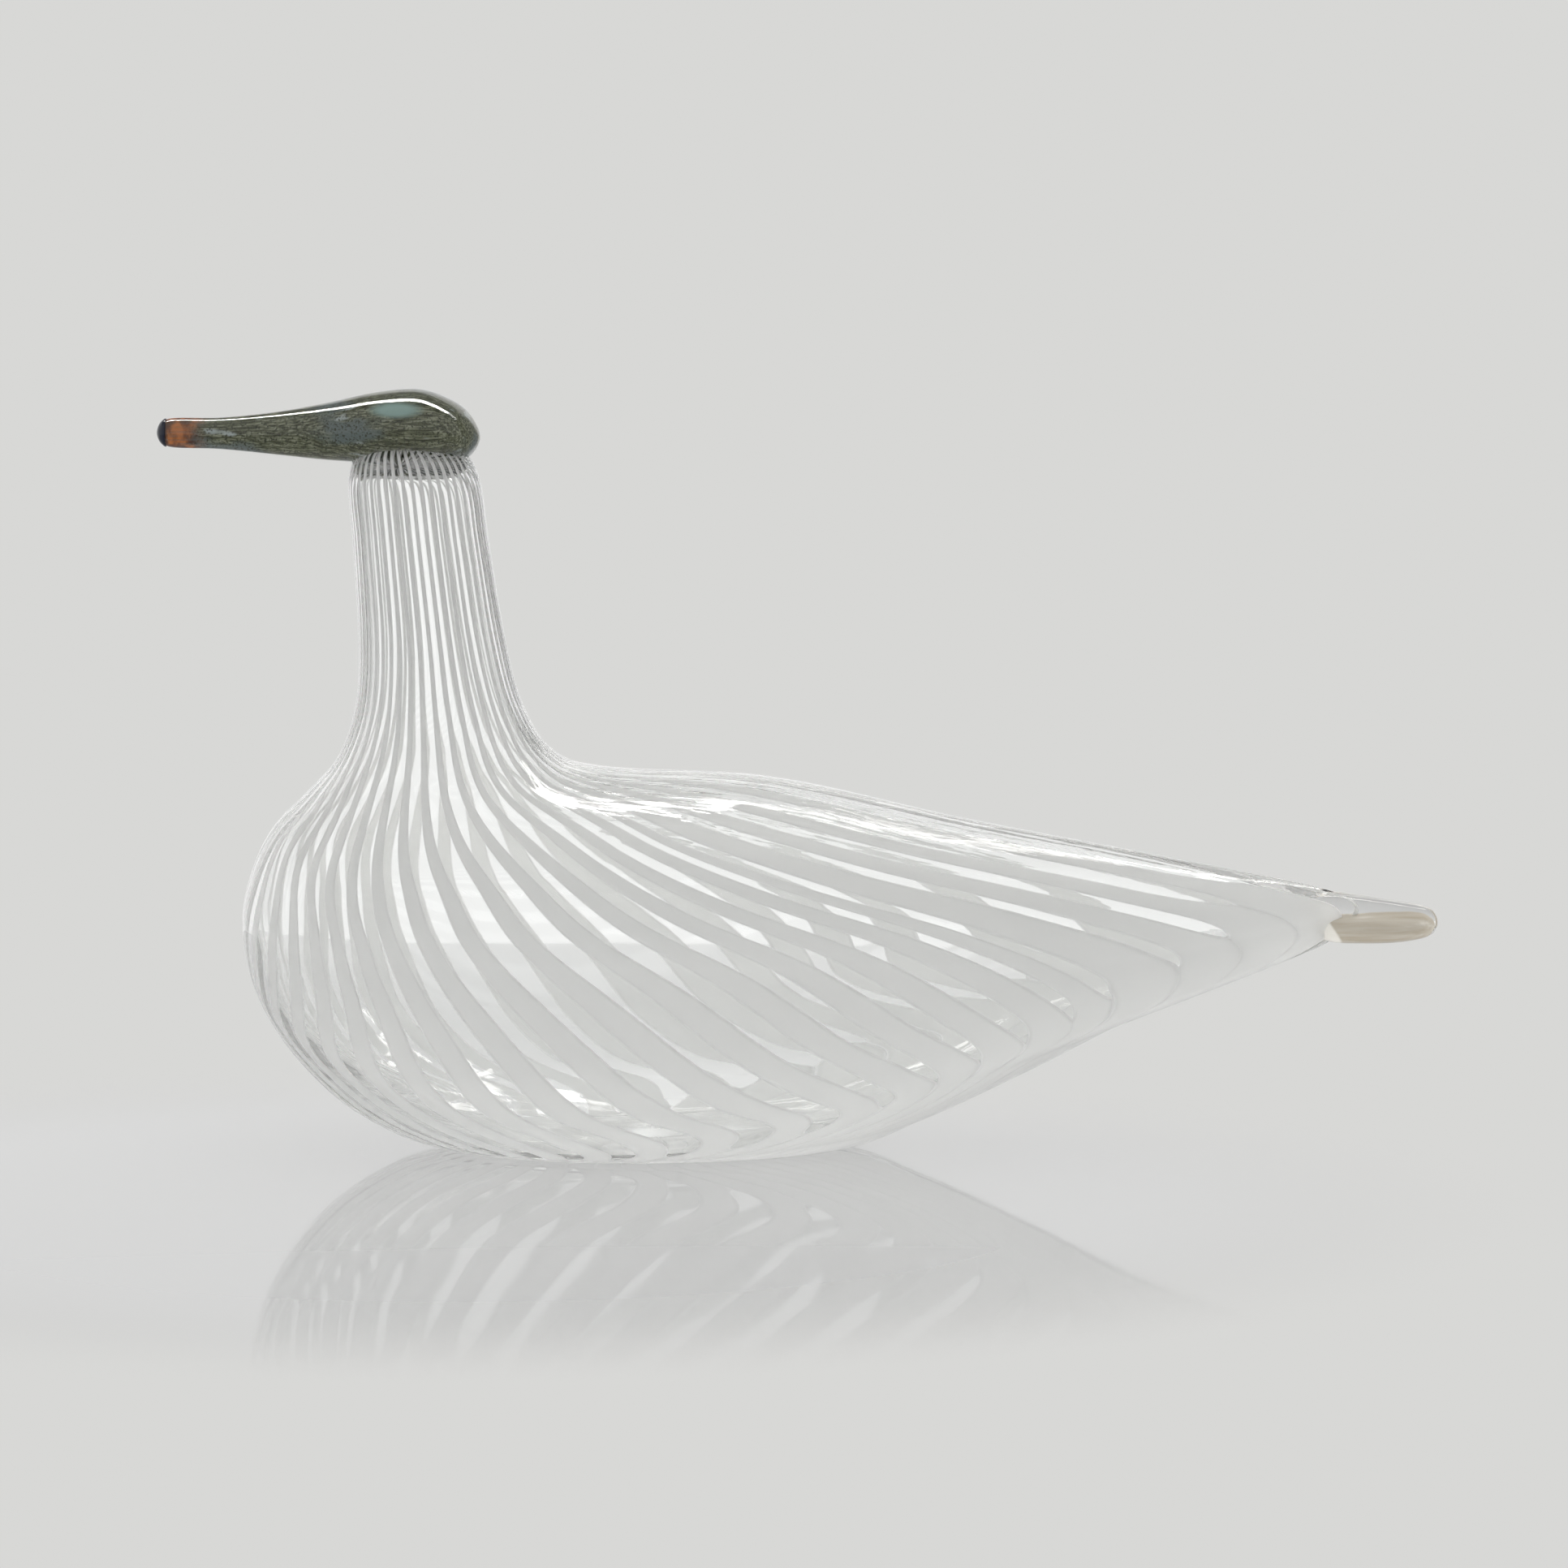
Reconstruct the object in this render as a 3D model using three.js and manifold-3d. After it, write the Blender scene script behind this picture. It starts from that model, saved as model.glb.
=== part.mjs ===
// A blown glass bird at rest: a hollow teardrop body with a long neck, a solid head with its beak,
// a drop of dark glass on the beak and a solid nub of clear glass on the tail.
// Millimetres, +Z up, head towards -X, tail towards +X, the origin on the floor under the middle of its box.
import * as THREE from 'three';
import Module from 'manifold-3d';
import { mergeVertices } from 'three/addons/utils/BufferGeometryUtils.js';

// Driving dimensions
const LENGTH = 293; // from the end of the beak to the end of the tail
const NECK_TOP = 162; // height of the dome that closes the neck
const BODY_WIDTH = 96; // across the widest part of the chest
const BASE_LENGTH = 84; // the flat patch ground under the body
const BASE_WIDTH = 38;
const BEAK_BAND = 2.2; // length of the dark drop on the end of the beak
const TAIL_JOINT = 120.5; // where the nub is fused to the pulled end of the body
const TAIL_AXIS = 53.8; // height of the middle of that joint
const FIT = 0.3; // clearance between two pieces that touch

const BEAK_END = -LENGTH / 2;
const TAIL_END = LENGTH / 2;
const BASE_BACK = 8;
const BASE_FRONT = BASE_BACK - BASE_LENGTH;
const BASE_MIDDLE = (BASE_FRONT + BASE_BACK) / 2;
const HALF = BODY_WIDTH / 2;

const BODY_SIDES = 44;
const HEAD_SIDES = 28;
const NUB_SIDES = 20;
const TIP_SIDES = 20;
const STEPS = 3; // rows of faces between two rings
const DOME_EASE = 1.3; // draws the first rows of a dome in towards its pole

// A ring runs once round a piece. It is given by the points [x, z] where it crosses the front line and
// the back line, by its point [x, z] at the widest side, and by its half width there.
// With a pinch its back end is drawn to a point, as glass is where a tail is pulled out of it.
const ring = (front, back, half, side = null, pinch = 0) => ({
  front,
  back,
  side: side ?? [(front[0] + back[0]) / 2, (front[1] + back[1]) / 2],
  half,
  pinch,
});
const pole = (x, z) => ring([x, z], [x, z], 0);

// Level on the neck, the rings dip towards the tail on the body, and close on the base.
const BODY_RINGS = [
  pole(-92.5, NECK_TOP),
  ring([-99.5, 160.5], [-79, 161.3], 10, [-90, 160.8]),
  ring([-103, 155], [-73.5, 155.5], 15),
  ring([-102.2, 140], [-71.2, 140], 15.5),
  ring([-101.2, 118], [-67.7, 118], 16.8),
  ring([-102, 103], [-63.8, 103], 19.3, [-83, 102]),
  ring([-106.2, 91], [-56.8, 92], 25.2, [-81, 90]),
  ring([-113.6, 82.6], [-44, 88], 33, [-79.5, 79]),
  ring([-121, 75], [-6, 85.8], 41, [-77, 67]),
  ring([-125.7, 66], [39, 76.2], 46.5, [-71, 55], 0.1),
  ring([-128.2, 54.5], [88, 66.8], HALF, [-60, 41], 0.3),
  ring([-126.2, 40], [126, 58], 45, [-43, 24], 0.6),
  ring([-119.7, 26], [121, 47.5], 39.5, [-27, 14.5], 0.8),
  ring([-108.8, 13], [84, 33.5], 33, [-18, 8.2], 0.7),
  ring([-96, 4.5], [55, 19], 27.5, [-18, 4.2], 0.5),
  ring([-86, 1.1], [30, 7.3], 23.5, [-25, 1.6], 0.2),
  ring([BASE_FRONT, 0], [BASE_BACK, 0], BASE_WIDTH / 2),
  pole(BASE_MIDDLE, 0),
];

// Upright sections from the beak to the crown, then leaning round the back of the head.
// The front point of a ring is its lowest, and the back point its highest.
const beakCut = BEAK_END + BEAK_BAND;
const BEAK_CUT_RING = ring([beakCut, 161.9], [beakCut, 168.2], 3.3);
const HEAD_RINGS = [
  pole(beakCut + FIT, 165),
  ring([beakCut + FIT, 161.9], [beakCut + FIT, 168.2], 3.3),
  ring([-132, 161.3], [-132, 168.5], 3.8),
  ring([-120, 160.1], [-120, 169.7], 5.2),
  ring([-108, 158.8], [-108, 171.8], 8.2),
  ring([-97, 158.2], [-97, 174.2], 11.6),
  ring([-87, 158.6], [-87, 175], 13.6),
  ring([-79, 159.2], [-79.5, 172.5], 12.6),
  ring([-75.2, 159.8], [-75.2, 169.1], 8.6),
  pole(-73, 164),
];
const TIP_RINGS = [
  pole(BEAK_END, 165),
  ring([BEAK_END + 0.7, 162.9], [BEAK_END + 0.7, 167.2], 2.2),
  BEAK_CUT_RING,
  pole(beakCut, 165),
];
const NUB_RINGS = [
  pole(TAIL_JOINT + FIT, TAIL_AXIS),
  ring([TAIL_JOINT + FIT, 48], [TAIL_JOINT + FIT, 59.6], 5.4),
  ring([129, 47.5], [129, 58.6], 5.5),
  ring([138, 47.8], [138, 57.2], 4.8),
  ring([144.6, 49.3], [144.6, 55.6], 3.2),
  pole(TAIL_END, 52.4),
];

// Looks, from the photograph
const GLASS = { color: 0xe9ebe9, roughness: 0.05, metalness: 0, transparent: true, opacity: 0.55 };
const SMOKE = { color: 0x5d6258, roughness: 0.08, metalness: 0 };
const NIGHT = { color: 0x151a22, roughness: 0.08, metalness: 0 };
const SAND = { color: 0xc4b7a2, roughness: 0.06, metalness: 0 };

// The curve through four values that leaves b towards c, at u from 0 to 1
const spline = (a, b, c, d, u) =>
  0.5 * (2 * b + (c - a) * u + (2 * a - 5 * b + 4 * c - d) * u * u + (3 * b - a - 3 * c + d) * u ** 3);

const splinePoint = (key, a, b, c, d, u) =>
  [0, 1].map((axis) => spline(a[key][axis], b[key][axis], c[key][axis], d[key][axis], u));

// Past a pole the lines run down the opposite side, which makes the end a round dome.
const mirrored = (r) => ({ ...r, front: r.back, back: r.front, half: -r.half });

function ringBetween(rings, index, u) {
  const b = rings[index];
  const c = rings[index + 1];
  const a = rings[index - 1] ?? mirrored(c);
  const d = rings[index + 2] ?? mirrored(b);
  return {
    front: splinePoint('front', a, b, c, d, u),
    back: splinePoint('back', a, b, c, d, u),
    side: splinePoint('side', a, b, c, d, u),
    half: spline(a.half, b.half, c.half, d.half, u),
    pinch: Math.max(0, spline(a.pinch, b.pinch, c.pinch, d.pinch, u)),
  };
}

// The point of a ring at an angle: 0 at the back line, half a turn at the front line
function ringPoint({ front, back, side, half, pinch }, angle) {
  const [x, z] = [0, 1].map((axis) => {
    const middle = (front[axis] + back[axis] + 2 * side[axis]) / 4;
    const reach = (back[axis] - front[axis]) / 2;
    const lean = (front[axis] + back[axis] - 2 * side[axis]) / 4;
    return middle + reach * Math.cos(angle) + lean * Math.cos(2 * angle);
  });
  const drawn = Math.max(1 - Math.cos(angle / 2) ** 4, 0) ** (pinch / 2);
  return new THREE.Vector3(x, -half * Math.sin(angle) * drawn, Math.max(z, 0));
}

// A closed skin over the rings, which begin and end in a pole. A flat end is one fan.
function loft(rings, { sides, flatStart = false, flatEnd = false }) {
  const rows = [];
  const last = rings.length - 2;
  for (let span = 0; span <= last; span += 1) {
    const flat = (span === 0 && flatStart) || (span === last && flatEnd);
    const count = flat ? 1 : STEPS;
    for (let step = 0; step < count; step += 1) {
      const round = span === 0 && !flat ? (step / count) ** DOME_EASE : step / count;
      rows.push(ringBetween(rings, span, round));
    }
  }
  const points = [ringPoint(rings[0], 0)];
  for (const row of rows.slice(1)) {
    for (let i = 0; i < sides; i += 1) {
      points.push(ringPoint(row, (2 * Math.PI * i) / sides));
    }
  }
  const end = points.push(ringPoint(rings.at(-1), 0)) - 1;

  const faces = [];
  const at = (row, i) => 1 + row * sides + (i % sides);
  const full = rows.length - 1; // the rows between the two poles
  for (let i = 0; i < sides; i += 1) {
    faces.push([0, at(0, i + 1), at(0, i)]);
    for (let row = 0; row + 1 < full; row += 1) {
      faces.push([at(row, i), at(row + 1, i + 1), at(row + 1, i)]);
      faces.push([at(row, i), at(row, i + 1), at(row + 1, i + 1)]);
    }
    faces.push([end, at(full - 1, i), at(full - 1, i + 1)]);
  }
  const positions = new Float32Array(points.flatMap((p) => p.toArray()));
  return new THREE.BufferGeometry()
    .setAttribute('position', new THREE.BufferAttribute(positions, 3))
    .setIndex(faces.flat());
}

const wasm = await Module();
wasm.setup();

function toSolid(geometry) {
  const plain = geometry.clone();
  plain.deleteAttribute('normal');
  plain.deleteAttribute('uv');
  const merged = mergeVertices(plain);
  const { Manifold, Mesh } = wasm;
  return new Manifold(
    new Mesh({
      numProp: 3,
      vertProperties: merged.getAttribute('position').array,
      triVerts: new Uint32Array(merged.index.array),
    }),
  );
}

function toGeometry(solid) {
  const { vertProperties, triVerts } = solid.getMesh();
  return new THREE.BufferGeometry()
    .setAttribute('position', new THREE.BufferAttribute(vertProperties, 3))
    .setIndex(new THREE.BufferAttribute(triVerts, 1));
}

// The neck and body in one skin, cut off square where the tail nub starts
function bodyShape() {
  const whole = loft(BODY_RINGS, { sides: BODY_SIDES, flatEnd: true });
  const waste = 40; // a block wider and longer than the glass behind the cut
  const cutter = new THREE.BoxGeometry(waste, waste, waste);
  cutter.translate(TAIL_JOINT + waste / 2, 0, TAIL_AXIS);
  return toGeometry(toSolid(whole).subtract(toSolid(cutter)));
}

// The head sits over the dome of the neck, so the dome and its clearance are taken out of it.
function headShape() {
  const grown = ({ front, back, side, half, pinch }) => ({
    front: [front[0] - FIT, front[1] + FIT],
    back: [back[0] + FIT, back[1] + FIT],
    side: [side[0], side[1] + FIT],
    half: half + FIT,
    pinch,
  });
  const dome = [pole(BODY_RINGS[0].front[0], NECK_TOP + FIT), ...BODY_RINGS.slice(1, 4).map(grown)];
  const foot = dome.at(-1).side;
  const socket = loft([...dome, pole(...foot)], { sides: BODY_SIDES, flatEnd: true });
  const head = loft(HEAD_RINGS, { sides: HEAD_SIDES, flatStart: true });
  return toGeometry(toSolid(head).subtract(toSolid(socket)));
}

const tipShape = () => loft(TIP_RINGS, { sides: TIP_SIDES, flatEnd: true });
const nubShape = () => loft(NUB_RINGS, { sides: NUB_SIDES, flatStart: true });

function piece(name, geometry, look) {
  const mesh = new THREE.Mesh(geometry, new THREE.MeshStandardMaterial(look));
  geometry.computeVertexNormals();
  mesh.name = name;
  return mesh;
}

const bird = new THREE.Group();
bird.add(
  piece('body', bodyShape(), GLASS),
  piece('head', headShape(), SMOKE),
  piece('beak_tip', tipShape(), NIGHT),
  piece('tail_nub', nubShape(), SAND),
);

export default bird;
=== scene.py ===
"""A blown glass bird at rest, white ribbons sealed in its clear wall. Metres, +Z up, beak towards -X."""

import math

import bmesh
import bpy
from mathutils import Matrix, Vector


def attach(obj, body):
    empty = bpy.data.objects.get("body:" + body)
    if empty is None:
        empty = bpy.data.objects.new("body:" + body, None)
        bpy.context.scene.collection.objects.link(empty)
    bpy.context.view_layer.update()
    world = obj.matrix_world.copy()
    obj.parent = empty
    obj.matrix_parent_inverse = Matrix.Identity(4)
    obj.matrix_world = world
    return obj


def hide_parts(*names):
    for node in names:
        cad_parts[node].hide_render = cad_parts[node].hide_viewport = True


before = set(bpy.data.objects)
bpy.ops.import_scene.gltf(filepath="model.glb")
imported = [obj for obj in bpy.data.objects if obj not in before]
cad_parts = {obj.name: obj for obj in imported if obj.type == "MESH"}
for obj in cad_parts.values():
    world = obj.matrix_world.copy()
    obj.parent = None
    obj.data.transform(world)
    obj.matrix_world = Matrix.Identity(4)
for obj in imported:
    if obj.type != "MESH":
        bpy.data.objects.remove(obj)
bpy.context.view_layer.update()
MM = 0.001

# Camera, where the photograph was taken from
PICTURE_PIXELS = 1932
FOCAL_PIXELS = 5962
SENSOR_MM = 36
CAMERA_PLACE = Vector((-4, -1100, 234)) * MM
CAMERA_DIP = math.radians(7.74)


def make_camera():
    lens = bpy.data.cameras.new("studio_camera")
    lens.sensor_width = SENSOR_MM
    lens.lens = FOCAL_PIXELS / PICTURE_PIXELS * SENSOR_MM
    camera = bpy.data.objects.new("studio_camera", lens)
    camera.location = CAMERA_PLACE
    camera.rotation_euler = (math.pi / 2 - CAMERA_DIP, 0, 0)
    bpy.context.scene.collection.objects.link(camera)
    bpy.context.scene.camera = camera


make_camera()


# Rings, in millimetres. A ring runs once round a piece. It is given by the points (x, z) where it crosses
# the front line and the back line, its point (x, z) at the widest side, and its half width there.
# With a pinch its back end is drawn to a point, as glass is where a tail is pulled out of it.
def ring(front, back, half, side=None, pinch=0.0):
    side = side or ((front[0] + back[0]) / 2, (front[1] + back[1]) / 2)
    return (*front, *back, *side, half, pinch)


def pole(x, z):
    return ring((x, z), (x, z), 0)


LENGTH = 293
NECK_TOP = 162
BODY_WIDTH = 96
BASE_LENGTH = 84
BASE_WIDTH = 38
BASE_BACK = 8
BASE_FRONT = BASE_BACK - BASE_LENGTH
BEAK_END = -LENGTH / 2
TAIL_END = LENGTH / 2
BEAK_BAND = 2.2
BEAK_CUT = BEAK_END + BEAK_BAND
FIT = 0.3

BODY_RINGS = [
    pole(-91, NECK_TOP + 1.3),
    ring((-99.5, 161.6), (-79, 162.4), 10, (-90, 162)),
    ring((-103, 155), (-73.5, 155.5), 15),
    ring((-102.2, 140), (-71.2, 140), 15.5),
    ring((-101.2, 118), (-67.7, 118), 16.8),
    ring((-102, 103), (-63.8, 103), 19.3, (-83, 102)),
    ring((-106.2, 91), (-56.8, 92), 25.2, (-81, 90)),
    ring((-113.6, 82.6), (-44, 88), 33, (-79.5, 79)),
    ring((-121, 75), (-6, 85.8), 41, (-77, 67)),
    ring((-125.7, 66), (39, 76.2), 46.5, (-71, 55), 0.1),
    ring((-128.2, 54.5), (88, 66.8), BODY_WIDTH / 2, (-60, 41), 0.3),
    ring((-126.2, 40), (126, 58), 45, (-43, 24), 0.6),
    ring((-119.7, 26), (121, 47.5), 39.5, (-27, 14.5), 0.8),
    ring((-108.8, 13), (84, 33.5), 33, (-18, 8.2), 0.7),
    ring((-96, 4.5), (55, 19), 27.5, (-18, 4.2), 0.5),
    ring((-86, 1.1), (30, 7.3), 23.5, (-25, 1.6), 0.2),
    ring((BASE_FRONT, 0), (BASE_BACK, 0), BASE_WIDTH / 2),
    pole((BASE_FRONT + BASE_BACK) / 2, 0),
]
HEAD_RINGS = [
    pole(BEAK_CUT + FIT, 165),
    ring((BEAK_CUT + FIT, 161.9), (BEAK_CUT + FIT, 168.2), 3.3),
    ring((-132, 161.3), (-132, 168.5), 3.8),
    ring((-120, 160.1), (-120, 169.7), 5.2),
    ring((-108, 158.8), (-108, 171.8), 8.2),
    ring((-97, 158.2), (-97, 174.2), 11.6),
    ring((-87, 158.6), (-87, 175), 13.6),
    ring((-79, 159.2), (-79.5, 172.5), 12.6),
    ring((-75.2, 159.8), (-75.2, 169.1), 8.6),
    pole(-73, 164),
]
TIP_RINGS = [
    pole(BEAK_END, 165),
    ring((BEAK_END + 0.7, 162.9), (BEAK_END + 0.7, 167.2), 2.2),
    ring((BEAK_CUT, 161.9), (BEAK_CUT, 168.2), 3.3),
    pole(BEAK_CUT, 165),
]
# The nub's root lies inside the pulled end of the body, where the two are fused.
NUB_RINGS = [
    pole(108, 54.5),
    ring((112, 51), (112, 58), 3.2),
    ring((121, 48), (121, 59.4), 5.4),
    ring((129, 47.5), (129, 58.6), 5.5),
    ring((138, 47.8), (138, 57.2), 4.8),
    ring((144.6, 49.3), (144.6, 55.6), 3.2),
    pole(TAIL_END, 52.4),
]
# The sand-coloured core sealed in the nub
CORE_RINGS = [
    pole(111, 53.5),
    ring((114, 51), (114, 55.4), 1.8),
    ring((119, 49.4), (119, 54.8), 2.8),
    ring((124, 48.8), (124, 54), 3.2),
    ring((131, 48.5), (131, 53.9), 3.5),
    ring((138, 48.6), (138, 53.8), 3.4),
    ring((143, 49.7), (143, 53.6), 2.3),
    pole(144.9, 52),
]


def spline(a, b, c, d, u):
    """The curve through four values that leaves b towards c, at u from 0 to 1"""
    return 0.5 * (2 * b + (c - a) * u + (2 * a - 5 * b + 4 * c - d) * u * u + (3 * b - a - 3 * c + d) * u**3)


def mirrored(r):
    """Past a pole the lines run down the opposite side, which makes the end a round dome."""
    return (r[2], r[3], r[0], r[1], r[4], r[5], -r[6], r[7])


def ring_at(rings, place):
    """The ring at a place counted in rings from the first one"""
    index = min(int(place), len(rings) - 2)
    b = rings[index]
    c = rings[index + 1]
    a = rings[index - 1] if index else mirrored(c)
    d = rings[index + 2] if index + 2 < len(rings) else mirrored(b)
    return [spline(*four, place - index) for four in zip(a, b, c, d)]


def point_of(r, angle):
    """The point of a ring at an angle: 0 at the back line, half a turn at the front line"""
    front_x, front_z, back_x, back_z, side_x, side_z, half, pinch = r
    near, far = math.cos(angle), math.cos(2 * angle)
    x = (front_x + back_x + 2 * side_x) / 4
    x += (back_x - front_x) / 2 * near + (front_x + back_x - 2 * side_x) / 4 * far
    z = (front_z + back_z + 2 * side_z) / 4
    z += (back_z - front_z) / 2 * near + (front_z + back_z - 2 * side_z) / 4 * far
    drawn = max(1 - math.cos(angle / 2) ** 4, 0) ** (max(pinch, 0) / 2)
    return Vector((x, -half * math.sin(angle) * drawn, max(z, 0))) * MM


# The ribbons sway sideways on their way down: on each ring they are shifted round by four sine waves,
# with one to four periods in a full turn, by these amounts in degrees.
RIBBONS = 44
FIRST_RIBBON = 0.7
PITCH = 2 * math.pi / RIBBONS
LAST_PLACE = len(BODY_RINGS) - 1
SWAY = [
    (0, 0, 0, 0),
    (0, 0, 0, 0),
    (-0.3, 0, -0.3, 0),
    (-0.5, -0.6, -0.5, -0.2),
    (-0.4, -0.8, -0.5, 0),
    (0.3, -3.6, -0.5, 0.1),
    (2.7, -3.8, 0.4, -0.2),
    (-0.2, -1.7, 0, 1.9),
    (-1.5, 5, 2.4, 2.8),
    (-4.1, 8.7, 0, 3.4),
    (-5.2, 9.2, -0.5, 3.5),
    (-2.5, 6.8, 2, 2.1),
    (0.3, 3.6, 3.8, 3),
    (-0.2, 0.4, 6.4, 3.4),
    (-1.5, -1.5, 3, 1.5),
    (-1, -1.5, 1, 0.5),
    (0, 0, 0, 0),
    (0, 0, 0, 0),
]
# The far side differs below the middle. It is also shifted on the neck, and twisted on the body by so many
# degrees for each ring, with some more twist beside the tail.
NECK_SHIFT = 0.4 * PITCH
TWIST = 5
TWIST_START = 6
TWIST_EASE = 8.2
TWIST_END = 11
TAIL_TWIST = 9
TAIL_TWIST_START = 9.3
FAR_SWAY = [
    *SWAY[:11],
    (-2.8, 6.4, 1.6, 2),
    (-2.1, -0.2, 0, 0.4),
    (-4.4, -6.5, 0, 0),
    (-3, -4, 0, 0),
    (-1, -2, 0, 0),
    (0, 0, 0, 0),
    (0, 0, 0, 0),
]


def smooth(low, high, value):
    """0 below low, 1 above high, and a smooth step between"""
    share = min(max((value - low) / (high - low), 0), 1)
    return share * share * (3 - 2 * share)


def past(place, start):
    """How far a place lies past a start, 0 before it, with an easy bend"""
    return 0.5 * (place - start + math.hypot(place - start, 0.4))


def swayed(turn, place):
    """The angle on a ring of the body, for a turn in which all ribbons are equally far apart"""
    index = min(int(place), LAST_PLACE - 1)
    table = SWAY if turn < math.pi else FAR_SWAY
    rows = [table[min(max(index + step, 0), LAST_PLACE)] for step in (-1, 0, 1, 2)]
    waves = [spline(*four, place - index) for four in zip(*rows)]
    angle = turn + sum(math.radians(wave) * math.sin((k + 1) * turn) for k, wave in enumerate(waves))
    if turn > math.pi:
        angle -= NECK_SHIFT * (1 - smooth(5, 7, place)) * math.sin(turn) ** 2
        reached = min(place, TWIST_END)
        wound = max(reached - TWIST_START, 0) - 0.75 * past(reached, TWIST_EASE)
        angle -= math.radians(TWIST * wound) * math.sin(turn) ** 2
        left = 2 * math.pi - turn
        pulled = smooth(0, 0.3, left) * (1 - smooth(0.5, 1.2, left))
        angle -= math.radians(TAIL_TWIST * min(past(place, TAIL_TWIST_START), 1.5)) * pulled
    return angle


def skin(place, turn, depth=0.0):
    """The point at a depth under the outside of the body, in metres"""
    here = point_of(ring_at(BODY_RINGS, place), swayed(turn, place))
    if not depth:
        return here
    step = 0.02
    above = max(place - step, 0.0)
    below = min(place + step, LAST_PLACE)
    down = point_of(ring_at(BODY_RINGS, below), swayed(turn, below))
    down -= point_of(ring_at(BODY_RINGS, above), swayed(turn, above))
    row = ring_at(BODY_RINGS, min(max(place, 0.05), LAST_PLACE - 0.05))
    across = point_of(row, swayed(turn + step, place)) - point_of(row, swayed(turn - step, place))
    normal = across.cross(down)
    if normal.length < 1e-15:
        normal = Vector((0, 0, 1 if place < 1 else -1))
    return here - normal.normalized() * depth


def rounded(vert, along):
    """Where a vertex of a unit sphere stands: its share from pole to pole, and its turn round the axis"""
    share = round(math.acos(max(-1, min(1, vert.co.z))) / math.pi * along) / along
    turn = -math.atan2(vert.co.y, vert.co.x)
    return share, turn % (2 * math.pi)


def sphere(around, along):
    """A unit sphere with so many faces round it and from pole to pole, to be drawn out into a shape"""
    bm = bmesh.new()
    bmesh.ops.create_uvsphere(bm, u_segments=around, v_segments=along, radius=1)
    return bm


def loft(rings, around, along):
    """A closed skin over rings that begin and end in a pole"""
    bm = sphere(around, along)
    for vert in bm.verts:
        share, turn = rounded(vert, along)
        vert.co = point_of(ring_at(rings, share * (len(rings) - 1)), turn)
    return bm


def add_object(name, bm, shade=True):
    mesh = bpy.data.meshes.new(name)
    bm.to_mesh(mesh)
    bm.free()
    if shade:
        mesh.shade_smooth()
    obj = bpy.data.objects.new(name, mesh)
    bpy.context.scene.collection.objects.link(obj)
    return obj


def combine(obj, tool, operation):
    """Joins tool to obj or cuts it away, and leaves one plain mesh"""
    modifier = obj.modifiers.new("combine", "BOOLEAN")
    modifier.operation = operation
    modifier.solver = "EXACT"
    modifier.object = tool
    depsgraph = bpy.context.evaluated_depsgraph_get()
    mesh = bpy.data.meshes.new_from_object(obj.evaluated_get(depsgraph))
    obj.modifiers.clear()
    obj.data = mesh
    bpy.data.objects.remove(tool)


# The clear wall, thicker where it closes the neck and where the cavity ends short of the tail.
# Its outside has faint ridges over the ribbons of the back.
WALL = 3.1 * MM
PLUG = 2.8 * MM
CAVITY_BACK = 117 * MM
CAVITY_ROUNDING = 14 * MM
RIDGE_RELIEF = 0.05 * MM
COLUMNS = RIBBONS * 6
ROWS = LAST_PLACE * 12
INSIDE_COLUMNS = RIBBONS * 3
INSIDE_ROWS = LAST_PLACE * 8


def soft_limit(value, limit, ease):
    """value, held under limit, with a rounded corner of the size ease"""
    return 0.5 * (value + limit - math.sqrt((value - limit) ** 2 + ease * ease))


def make_wall():
    """The skin with its cavity as one mesh, the nub fused on"""
    bm = sphere(COLUMNS, ROWS)
    for vert in bm.verts:
        share, turn = rounded(vert, ROWS)
        place = share * LAST_PLACE
        wave = math.cos((turn - FIRST_RIBBON * PITCH) * RIBBONS)
        ridge = smooth(0.6, 0.9, math.cos(turn)) * smooth(5.5, 7, place) * (1 - smooth(10, 11, place))
        dip = RIDGE_RELIEF * ridge * (wave + 0.6 * math.sin(67 * turn + 2.1 * place))
        vert.co = skin(place, turn, dip)
    outside = add_object("body", bm)
    combine(outside, add_object("nub_outside", loft(NUB_RINGS, around=72, along=60)), "UNION")
    inner = sphere(INSIDE_COLUMNS, INSIDE_ROWS)
    for vert in inner.verts:
        share, turn = rounded(vert, INSIDE_ROWS)
        place = share * LAST_PLACE
        spot = skin(place, turn, WALL)
        spot.z -= PLUG * (1 - smooth(0.5, 3.2, place))
        spot.x = soft_limit(spot.x, CAVITY_BACK, CAVITY_ROUNDING)
        vert.co = spot
    bmesh.ops.reverse_faces(inner, faces=inner.faces)
    inner.from_mesh(outside.data)
    inner.to_mesh(outside.data)
    inner.free()
    outside.data.shade_smooth()
    return outside


# The white ribbons in the wall. One that meets its neighbours is a little wider than the pitch.
RIBBON_DEPTH = 1.1 * MM
RIBBON_HALF_THICKNESS = 0.3 * MM
RIBBON_SIDES = 10
RIBBON_ROWS = LAST_PLACE * 9
FULL_COVER = 1.03
FAR_COVER = 0.93

# The clear gap after a ribbon closes at a place on its way down: (ribbon counted from the back line, place)
GAP_ENDS = [
    (0, 10.4),
    (1.3, 10.95),
    (2, 11.3),
    (3, 11.3),
    (4, 11.65),
    (5.5, 11.95),
    (6.5, 12.15),
    (7.5, 12.5),
    (8.5, 13.1),
    (10, 13.9),
    (12, 14.6),
    (14, 15.3),
    (22, 16),
]
FAR_GAP_END = 11.3


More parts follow.
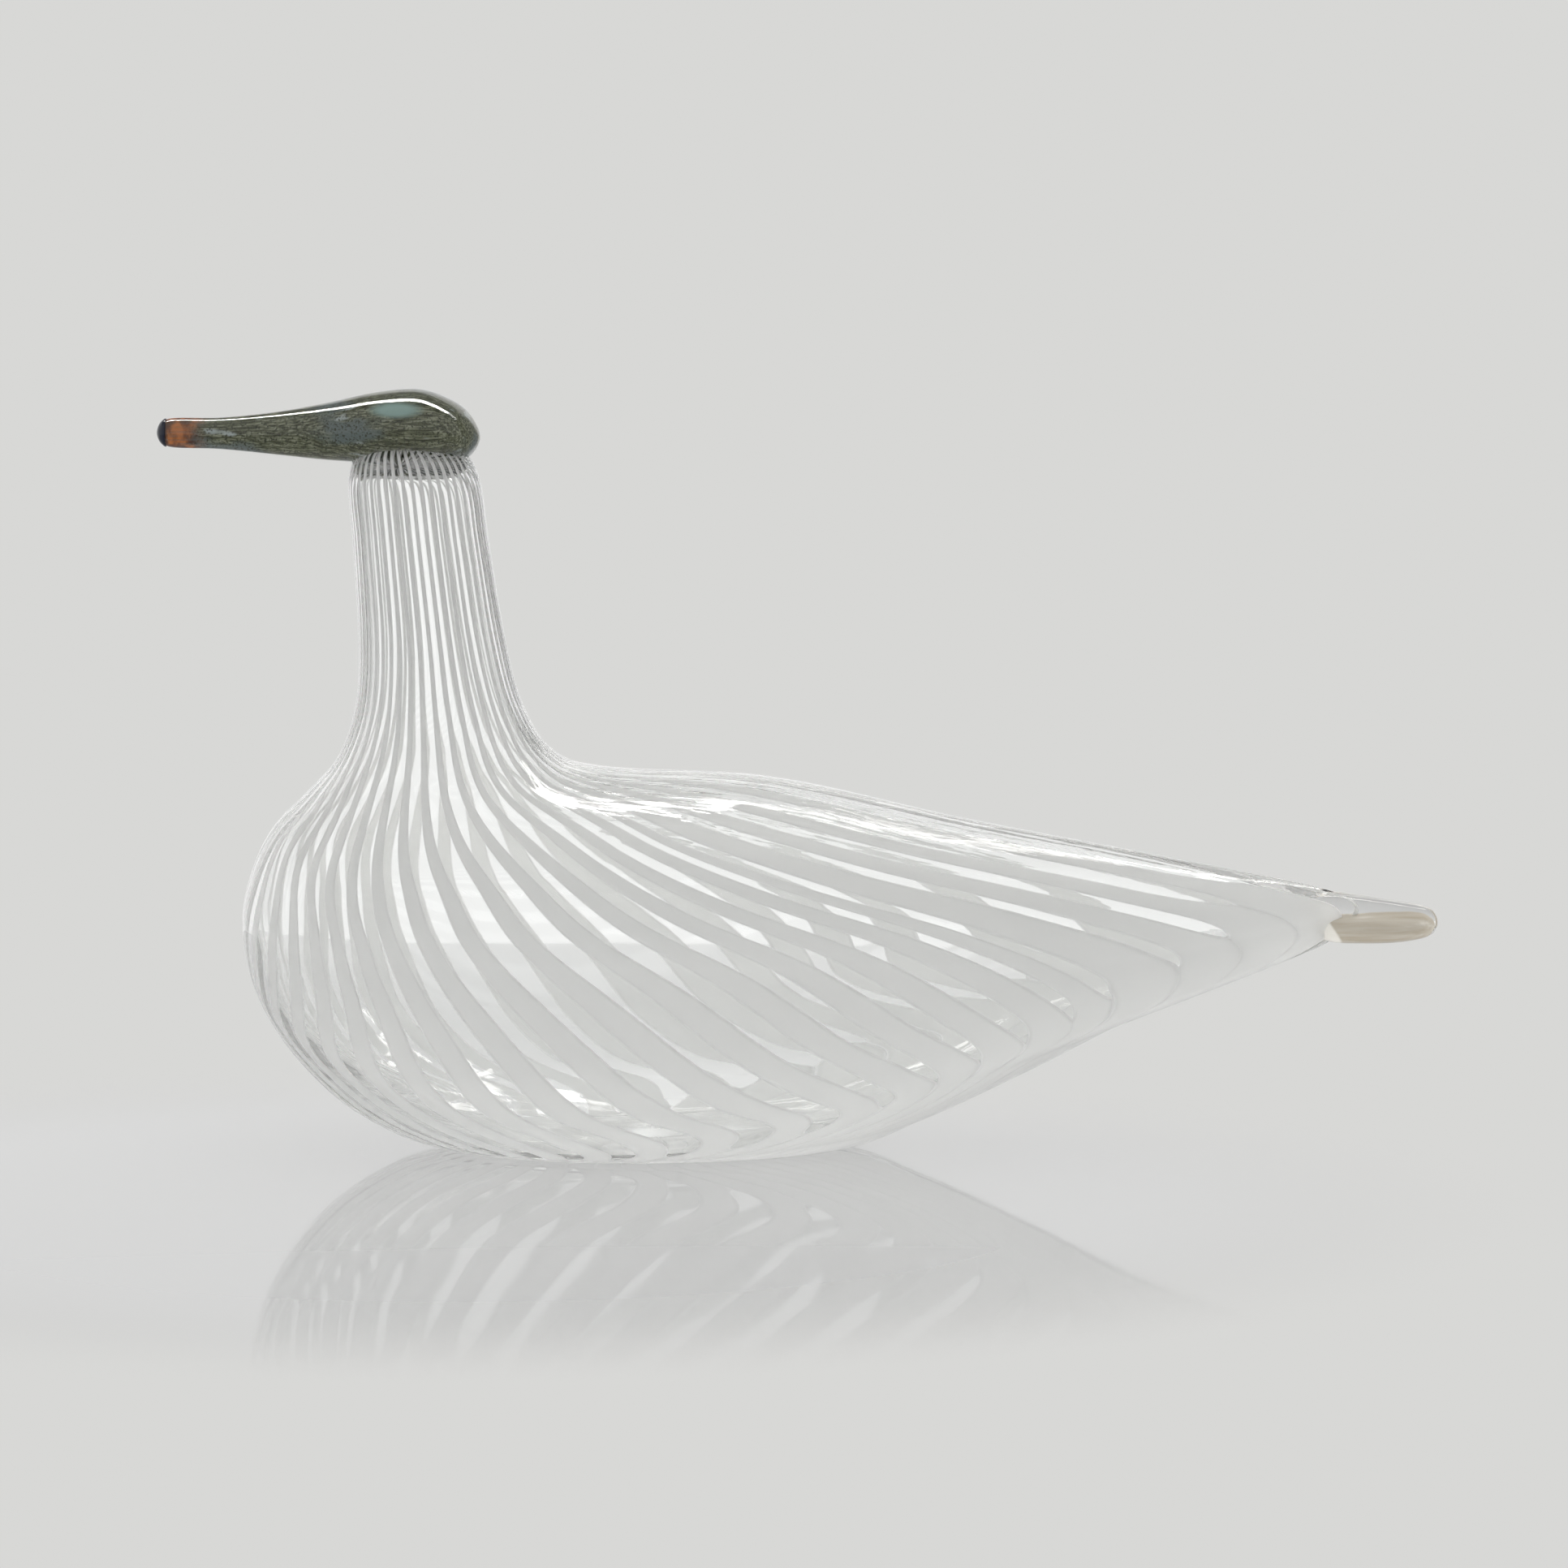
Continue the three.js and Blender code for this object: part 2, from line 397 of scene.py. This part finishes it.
def gap_end(turn):
    """The place where the gap at a turn closes, a little later on the far side"""
    turn = turn % (2 * math.pi)
    count = min(turn, 2 * math.pi - turn) / PITCH - FIRST_RIBBON
    for (low, start), (high, stop) in zip(GAP_ENDS, GAP_ENDS[1:]):
        if count <= high:
            end = start + (stop - start) * max((count - low) / (high - low), 0)
            return end if turn < math.pi else max(end, FAR_GAP_END)
    return GAP_ENDS[-1][1]


def coverage(place, centre, end):
    """The share of the pitch that a ribbon covers. Past the end of the gap beside it the ribbons meet."""
    step = 0.05
    spread = (swayed(centre + step, place) - swayed(centre - step, place)) / (2 * step)
    share = 0.43 + 0.03 * smooth(4, 6, place)
    share += 0.06 * smooth(8.5, 10.5, place) + 0.12 * smooth(11, 12.3, place)
    share = min(share / max(spread, 0.5) ** 0.6, 0.8) * (1 if centre < math.pi else FAR_COVER)
    closing = min(max((place - end) / 0.5 + 1, 0), 1)
    return share + (FULL_COVER - share) * (1 - math.sqrt(1 - closing**2))


# Some ribbons on the near side of the back stand off their even places, one of them broad:
# sideways shift in pitches, and width
ODD_RIBBONS = {
    0: (0.75, 1.2),
    1: (0.65, 1.1),
    2: (0.46, 1.2),
    3: (0.38, 1.65),
    4: (0.25, 0.75),
    43: (0.3, 1),
}


def make_ribbons():
    """Closed strips from the neck to the base. Their attribute runs from -1 to 1 across each of them."""
    whole = bmesh.new()
    whole.verts.layers.float.new("across")
    for index in range(RIBBONS):
        centre = (index + FIRST_RIBBON) * PITCH
        shift, breadth = ODD_RIBBONS.get(index, (0, 1))
        ends = {step: gap_end(centre + step * PITCH / 2) for step in (-1, 1)}
        bm = sphere(RIBBON_SIDES, RIBBON_ROWS)
        across = bm.verts.layers.float.new("across")
        for vert in bm.verts:
            share, turn = rounded(vert, RIBBON_ROWS)
            place = 0.1 + share * (LAST_PLACE - 0.25)
            side = 0.0
            lift = 0.0
            if 0 < share < 1:
                side = math.copysign(abs(math.cos(turn)) ** 0.7, math.cos(turn))
                lift = math.sin(turn) * RIBBON_HALF_THICKNESS
            vert[across] = side
            low = smooth(6, 8, place)
            cover = coverage(place, centre, ends[1 if side > 0 else -1]) * (1 + (breadth - 1) * low)
            middle = centre + shift * PITCH * low
            vert.co = skin(place, middle + side * min(cover, FULL_COVER) * PITCH / 2, RIBBON_DEPTH - lift)
        bmesh.ops.reverse_faces(bm, faces=bm.faces)
        strip = bpy.data.meshes.new("strip")
        bm.to_mesh(strip)
        bm.free()
        whole.from_mesh(strip)
        bpy.data.meshes.remove(strip)
    return add_object("white_ribbons", whole)


# The head, the beak and the drop on its end: a smoky core under a thin clear casing. The core is let into
# the dome of the neck, and the casing just clears it.
CASING = 0.15
CASING_GAP = 0.1
CORE_SINK = 0.25
CORE_FRONT = BEAK_CUT + 2 * FIT


def inset(rings, amount):
    """The same rings, drawn in by an amount in millimetres"""
    drawn = []
    for r in rings:
        front_x, front_z, back_x, back_z, side_x, side_z, half, pinch = r
        if half:
            front_z += amount
            back_z -= amount
            half -= amount
        drawn.append((front_x, front_z, back_x, back_z, side_x, side_z, half, pinch))
    return drawn


def dome(grow):
    """The top of the neck as a solid, drawn in or grown by an amount in millimetres"""
    rings = []
    for r in BODY_RINGS[:4]:
        front_x, front_z, back_x, back_z, side_x, side_z, half, pinch = r
        if half:
            front_x -= grow
            back_x += grow
            half += grow
        rings.append((front_x, front_z + grow, back_x, back_z + grow, side_x, side_z + grow, half, pinch))
    return add_object("dome", loft([*rings, pole(-87, 140)], around=96, along=40))


def make_head():
    casing = add_object("head_casing", loft(HEAD_RINGS, around=96, along=120))
    combine(casing, dome(CASING_GAP), "DIFFERENCE")
    core_rings = inset(HEAD_RINGS, CASING)
    core_rings[0] = pole(CORE_FRONT, 165)
    core_rings[1] = ring((CORE_FRONT, 162.2), (CORE_FRONT, 167.9), 3)
    core_rings[-2] = ring((-76, 160.4), (-76, 168.4), 8)
    core_rings[-1] = pole(-74, 164)
    core = add_object("head", loft(core_rings, around=96, along=120))
    combine(core, dome(-CORE_SINK), "DIFFERENCE")
    casing.data.shade_smooth()
    core.data.shade_smooth()
    tip = add_object("beak_tip", loft(TIP_RINGS, around=64, along=48))
    return casing, core, tip


# Materials
def material(name, **values):
    """A material with its shader's own sockets set, spaces in their names written as underscores"""
    made = bpy.data.materials.new(name)
    made.use_nodes = True
    shader = made.node_tree.nodes["Principled BSDF"]
    for socket, value in values.items():
        shader.inputs[socket.replace("_", " ")].default_value = value
    return made, made.node_tree, shader


def node(tree, kind, **settings):
    """A node with its settings. Those that start with in_ are the values of its sockets."""
    made = tree.nodes.new(kind)
    for key, value in settings.items():
        if key.startswith("in_"):
            made.inputs[key[3:].replace("_", " ")].default_value = value
        else:
            setattr(made, key, value)
    return made


def mapped(tree, location=(0, 0, 0), scale=(1, 1, 1)):
    """Object coordinates, scaled and then moved"""
    place = node(tree, "ShaderNodeTexCoord")
    mapping = node(tree, "ShaderNodeMapping", in_Location=location, in_Scale=scale)
    tree.links.new(place.outputs["Object"], mapping.inputs["Vector"])
    return mapping.outputs["Vector"]


def object_axes(tree):
    """Object coordinates, split into X, Y and Z"""
    parts = node(tree, "ShaderNodeSeparateXYZ")
    tree.links.new(mapped(tree), parts.inputs[0])
    return parts.outputs


def distance_from(tree, centre, reach=(1, 1, 1)):
    """How far a point lies from a centre, counted in the reach along each axis"""
    location = [-at / length for at, length in zip(centre, reach)]
    scale = [1 / length for length in reach]
    distance = node(tree, "ShaderNodeVectorMath", operation="LENGTH")
    tree.links.new(mapped(tree, location, scale), distance.inputs[0])
    return distance.outputs["Value"]


def object_noise(tree, scale, stretch=(1, 1, 1), detail=3.0):
    """Noise on Object coordinates, drawn out along an axis where its stretch is small"""
    noise = node(tree, "ShaderNodeTexNoise", in_Scale=scale, in_Detail=detail)
    tree.links.new(mapped(tree, scale=stretch), noise.inputs["Vector"])
    return noise.outputs["Fac"]


def add_bump(tree, shader, height, strength, distance):
    bump = node(tree, "ShaderNodeBump", in_Strength=strength, in_Distance=distance)
    tree.links.new(height, bump.inputs["Height"])
    tree.links.new(bump.outputs["Normal"], shader.inputs["Normal"])
    return bump


def reckon(tree, operation, *values):
    """The result of a Math node, each of its values given as a number or as a socket"""
    made = node(tree, "ShaderNodeMath", operation=operation)
    for socket, value in zip(made.inputs, values):
        if isinstance(value, (int, float)):
            socket.default_value = value
        else:
            tree.links.new(value, socket)
    return made.outputs[0]


def product(tree, *shares):
    """The shares multiplied with one another"""
    whole = shares[0]
    for share in shares[1:]:
        whole = reckon(tree, "MULTIPLY", whole, share)
    return whole


def soft_step(tree, source, low, high):
    """0 where a socket is below low, 1 above high, and a smooth step between"""
    step = node(tree, "ShaderNodeMapRange", interpolation_type="SMOOTHSTEP")
    step.inputs["From Min"].default_value = low
    step.inputs["From Max"].default_value = high
    tree.links.new(source, step.inputs["Value"])
    return step.outputs["Result"]


def blend(tree, share, first, second):
    """A mix of two colours by a socket, each colour given as a value or as a socket"""
    mix = node(tree, "ShaderNodeMix", data_type="RGBA")
    tree.links.new(share, mix.inputs["Factor"])
    for name, colour in (("A", first), ("B", second)):
        if isinstance(colour, tuple):
            mix.inputs[name].default_value = (*colour, 1)
        else:
            tree.links.new(colour, mix.inputs[name])
    return mix.outputs["Result"]


def mix_shaders(tree, share, first, second):
    """Puts a mix of two shaders on the surface, by a number or a socket"""
    mix = node(tree, "ShaderNodeMixShader")
    if isinstance(share, float):
        mix.inputs["Fac"].default_value = share
    else:
        tree.links.new(share, mix.inputs["Fac"])
    tree.links.new(first.outputs["BSDF"], mix.inputs[1])
    tree.links.new(second.outputs["BSDF"], mix.inputs[2])
    tree.links.new(mix.outputs["Shader"], tree.nodes["Material Output"].inputs["Surface"])


def ramp(tree, source, stops):
    """A colour ramp fed by a socket: stops are (position, colour)"""
    made = tree.nodes.new("ShaderNodeValToRGB")
    points = made.color_ramp.elements
    while len(points) < len(stops):
        points.new(0.5)
    for point, (position, colour) in zip(points, stops):
        point.position = position
        point.color = (*colour, 1)
    tree.links.new(source, made.inputs["Fac"])
    return made.outputs["Color"]


def clear_glass():
    """Fire-polished glass, a little wavy along the shoulder and the back"""
    made, tree, shader = material(
        "clear_glass",
        Base_Color=(0.985, 0.99, 0.985, 1),
        Roughness=0.03,
        IOR=1.5,
        Transmission_Weight=1.0,
    )
    axes = object_axes(tree)
    level = reckon(tree, "MULTIPLY_ADD", axes["X"], 0.2, axes["Z"])
    high = soft_step(tree, level, 66 * MM, 76 * MM)
    behind = soft_step(tree, axes["X"], -60 * MM, -40 * MM)
    shoulder = soft_step(tree, axes["X"], 15 * MM, -25 * MM)
    uneven = reckon(tree, "MULTIPLY_ADD", shoulder, 0.64, 0.36)
    streaks = object_noise(tree, 500, stretch=(0.05, 1, 0.6), detail=2)
    bump = add_bump(tree, shader, streaks, 1.0, 0.25 * MM)
    tree.links.new(product(tree, high, behind, uneven), bump.inputs["Strength"])
    return made


def white_glass():
    """Milky ribbons that let light through, with a painted highlight along their edges,
    and greyer on the neck by painted shade
    """
    made, tree, shader = material("white_glass", Roughness=0.6, IOR=1.1, Specular_IOR_Level=0.1)
    across = node(tree, "ShaderNodeAttribute", attribute_name="across")
    # Painted highlight: the ribbons are painted whiter along their edges.
    tone = ramp(
        tree,
        reckon(tree, "ABSOLUTE", across.outputs["Fac"]),
        [(0.0, (0.89, 0.89, 0.885)), (0.86, (0.89, 0.89, 0.885)), (0.93, (1, 1, 1))],
    )
    # Painted shade: the ribbons are painted greyer on the neck.
    neck = soft_step(tree, object_axes(tree)["Z"], 80 * MM, 130 * MM)
    neck_shade = node(tree, "ShaderNodeMix", data_type="RGBA", blend_type="MULTIPLY")
    neck_shade.inputs["B"].default_value = (0.92, 0.92, 0.92, 1)
    tree.links.new(neck, neck_shade.inputs["Factor"])
    tree.links.new(tone, neck_shade.inputs["A"])
    tree.links.new(neck_shade.outputs["Result"], shader.inputs["Base Color"])
    through = node(tree, "ShaderNodeBsdfTranslucent")
    tree.links.new(neck_shade.outputs["Result"], through.inputs["Color"])
    mix_shaders(tree, 0.65, shader, through)
    return made


def smoke_glass():
    """Grey-green glass: fine streaks, slate clouds, pale flecks, dark grains, a painted teal reflection on
    the crown and amber towards the drop"""
    made, tree, shader = material("smoke_glass", Roughness=0.5, IOR=1.1, Specular_IOR_Level=0.1)
    streaks = object_noise(tree, 2300, stretch=(0.05, 1, 1), detail=7)
    colour = ramp(
        tree,
        streaks,
        [(0.36, (0.026, 0.028, 0.013)), (0.5, (0.08, 0.086, 0.05)), (0.64, (0.19, 0.2, 0.14))],
    )
    slate = soft_step(tree, object_noise(tree, 110, stretch=(0.5, 1, 1)), 0.48, 0.62)
    colour = blend(tree, slate, colour, (0.085, 0.105, 0.1))
    pale = soft_step(tree, object_noise(tree, 330, stretch=(0.3, 1, 1), detail=1), 0.64, 0.7)
    colour = blend(tree, pale, colour, (0.24, 0.27, 0.26))
    dark = soft_step(tree, object_noise(tree, 2100, detail=2), 0.52, 0.64)
    colour = blend(tree, dark, colour, (0.025, 0.028, 0.016))
    # Painted reflection: a teal spot on the crown.
    from_teal_reflection = distance_from(tree, (-0.0913, -0.0096, 0.17072), reach=(0.0055, 0.012, 0.0016))
    teal = soft_step(tree, from_teal_reflection, 1.35, 0.55)
    colour = blend(tree, teal, colour, (0.18, 0.26, 0.24))
    band = soft_step(tree, object_axes(tree)["X"], -134 * MM, -140 * MM)
    uneven = reckon(tree, "MULTIPLY_ADD", streaks, 2, -0.1)
    resin = ramp(
        tree,
        object_noise(tree, 420, stretch=(1, 1, 0.5), detail=2),
        [(0.36, (0.055, 0.02, 0.009)), (0.5, (0.12, 0.042, 0.014)), (0.64, (0.32, 0.11, 0.028))],
    )
    colour = blend(tree, product(tree, band, uneven), colour, resin)
    tree.links.new(colour, shader.inputs["Base Color"])
    return made


def dark_glass():
    """Nearly black glass with a glossy, faintly uneven skin"""
    made, tree, shader = material(
        "dark_glass",
        Base_Color=(0.004, 0.006, 0.014, 1),
        Roughness=0.04,
        IOR=1.38,
    )
    add_bump(tree, shader, object_noise(tree, 300), 0.05, 0.3 * MM)
    return made


def sand_glass():
    """Sand colour with pale streaks, paler still up to a slanting line near its root"""
    made, tree, shader = material("sand_glass", Roughness=0.5, IOR=1.1, Specular_IOR_Level=0.1)
    tone = ramp(
        tree,
        object_noise(tree, 700, stretch=(0.08, 1, 1), detail=4),
        [(0.3, (0.34, 0.3, 0.24)), (0.6, (0.42, 0.385, 0.33)), (0.8, (0.58, 0.56, 0.52))],
    )
    axes = object_axes(tree)
    slant = reckon(tree, "MULTIPLY_ADD", axes["Z"], 0.73, axes["X"])
    start = soft_step(tree, slant, 159.6 * MM, 160.4 * MM)
    colour = blend(tree, start, (0.66, 0.64, 0.6), tone)
    tree.links.new(colour, shader.inputs["Base Color"])
    return made


def finish_piece(obj, look, slot, *nodes):
    """Gives a piece its material and its body, and hides the CAD nodes that it stands for.
    Its slot is not used.
    """
    obj.data.materials.clear()
    obj.data.materials.append(look)
    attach(obj, "root")
    if nodes:
        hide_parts(*nodes)


glass = clear_glass()
finish_piece(make_wall(), glass, "clear_glass", "body", "tail_nub")
finish_piece(make_ribbons(), white_glass(), "white_glass", "body")
casing, head, tip = make_head()
finish_piece(casing, glass, "clear_glass", "head")
finish_piece(head, smoke_glass(), "smoke_glass", "head")
finish_piece(tip, dark_glass(), "dark_glass", "beak_tip")
core = add_object("tail_nub", loft(CORE_RINGS, around=48, along=48))
finish_piece(core, sand_glass(), "sand_glass", "tail_nub")


# Studio: what stands behind the bird, what is seen past the ribbons through the glass, the light that
# falls on them from three sides, and the dark surroundings that the glass mirrors
BACKGROUND = (0.686, 0.686, 0.672)
SEEN_LIGHT = (0.93, 0.93, 0.925)
FRONT_LIGHT = (1.23, 1.23, 1.23)
BACK_LIGHT = (1.46, 1.46, 1.45)
TOP_LIGHT = (1.52, 1.52, 1.51)
DARK_WALL = (0.3, 0.3, 0.305)
CLEAR_CROSSINGS = 4.5  # more surfaces than a clear line of sight through the bird crosses

FLOOR_REACH = 1.6  # to both sides and towards the camera
FLOOR_BACK = 0.286
FLOOR_DROP = 0.2 * MM
FLOOR_GLOW = 0.24  # as seen
FLOOR_LIGHT = 1.7  # more than that for the light that falls on the ribbons
# Painted light: a pool of brighter glow on the floor close to the base, seen only through the glass.
FLOOR_NEAR = 0.19  # more than that close to the base, through the glass

# Narrow softboxes behind and over the bird: (distance behind it, depth), all on one slanting line
OVERHEAD_STRIPS = [(0.39, 0.016), (0.44, 0.044), (0.49, 0.016)]
STRIP_HEIGHT = 1.19
STRIP_FALL = 0.53
STRIP_LENGTH = 1.4
STRIP_POWER = 40  # watts for each metre of depth


def lighting_share(tree, seen):
    """1 for the light that falls on the ribbons, 0 for what is seen past them through the glass"""
    scattered = reckon(tree, "GREATER_THAN", seen["Diffuse Depth"], 0.5)
    passed = reckon(tree, "GREATER_THAN", seen["Transmission Depth"], CLEAR_CROSSINGS)
    return reckon(tree, "MAXIMUM", scattered, passed)


def make_world():
    world = bpy.data.worlds.new("studio")
    bpy.context.scene.world = world
    world.use_nodes = True
    tree = world.node_tree
    direction = node(tree, "ShaderNodeTexCoord")
    parts = node(tree, "ShaderNodeSeparateXYZ")
    tree.links.new(direction.outputs["Generated"], parts.inputs[0])
    axes = parts.outputs
    round_about = blend(tree, soft_step(tree, axes["Y"], -0.35, 0.35), FRONT_LIGHT, BACK_LIGHT)
    falling = blend(tree, soft_step(tree, axes["Z"], 0.2, 0.75), round_about, TOP_LIGHT)
    seen = node(tree, "ShaderNodeLightPath").outputs
    colour = blend(tree, lighting_share(tree, seen), SEEN_LIGHT, falling)
    beside = soft_step(tree, axes["X"], 0.35, 0.5)
    above = soft_step(tree, axes["Z"], 0.44, 0.54)
    dark = product(
        tree,
        reckon(tree, "MAXIMUM", beside, above),
        soft_step(tree, axes["Y"], 0, 0.3),
        soft_step(tree, seen["Glossy Depth"], 0.4, 0.6),
        soft_step(tree, seen["Transmission Depth"], 0.6, 0.4),
    )
    colour = blend(tree, dark, colour, DARK_WALL)
    colour = blend(tree, seen["Is Camera Ray"], colour, BACKGROUND)
    tree.links.new(colour, tree.nodes["Background"].inputs["Color"])


def floor_finish():
    """Glossy white that glows a little and fades out into the background"""
    made, tree, shader = material(
        "floor_white",
        Base_Color=(0.16, 0.16, 0.159, 1),
        Roughness=0.05,
        IOR=1.7,
        Emission_Color=(1, 1, 1, 1),
    )
    seen = node(tree, "ShaderNodeLightPath").outputs
    glow = reckon(tree, "MULTIPLY_ADD", lighting_share(tree, seen), FLOOR_LIGHT, FLOOR_GLOW)
    # The painted pool of light close to the base, seen only through the glass
    near_light_pool = soft_step(tree, distance_from(tree, (-0.02, 0, 0)), 0.12, 0.04)
    through = reckon(tree, "GREATER_THAN", seen["Transmission Depth"], 0.5)
    glow = reckon(tree, "MULTIPLY_ADD", product(tree, near_light_pool, through), FLOOR_NEAR, glow)
    tree.links.new(glow, shader.inputs["Emission Strength"])
    from_bird = distance_from(tree, (-0.072, -0.056, 0), reach=(0.24, 0.16, math.inf))
    away = soft_step(tree, from_bird, 0.55, 1.0)
    clear = node(tree, "ShaderNodeBsdfTransparent")
    mix_shaders(tree, product(tree, away, seen["Is Camera Ray"]), shader, clear)
    return made


def make_floor():
    bm = bmesh.new()
    bmesh.ops.create_grid(bm, x_segments=2, y_segments=2, size=1)
    for vert in bm.verts:
        vert.co.x *= FLOOR_REACH
        vert.co.y = -FLOOR_REACH + (vert.co.y + 1) / 2 * (FLOOR_REACH + FLOOR_BACK)
        vert.co.z = -FLOOR_DROP
    floor = add_object("floor", bm, shade=False)
    floor.data.materials.append(floor_finish())


def add_softbox(name, place, aim, width, depth, power):
    """A lamp that shows only where the glass mirrors it"""
    data = bpy.data.lights.new(name, "AREA")
    data.shape = "RECTANGLE"
    data.size = width
    data.size_y = depth
    data.energy = power
    data.color = (1, 0.985, 0.95)
    light = bpy.data.objects.new(name, data)
    light.location = place
    light.rotation_euler = (Vector(aim) - Vector(place)).to_track_quat("-Z", "Y").to_euler()
    light.visible_camera = False
    light.visible_diffuse = False
    bpy.context.scene.collection.objects.link(light)


make_world()
make_floor()
for number, (reach, depth) in enumerate(OVERHEAD_STRIPS):
    place = (0, reach, STRIP_HEIGHT - STRIP_FALL * reach)
    add_softbox(f"overhead_strip_{number}", place, (0, 0, 0.1), STRIP_LENGTH, depth, STRIP_POWER * depth)
add_softbox("head_strip", (-0.11, 0.115, 0.392), (-0.11, 0, 0.17), width=0.3, depth=0.042, power=0.7)
bpy.context.scene.view_settings.view_transform = "Standard"
bpy.context.scene.cycles.max_bounces = 32
bpy.context.scene.cycles.transmission_bounces = 24
bpy.context.scene.cycles.glossy_bounces = 16
bpy.context.scene.cycles.diffuse_bounces = 10
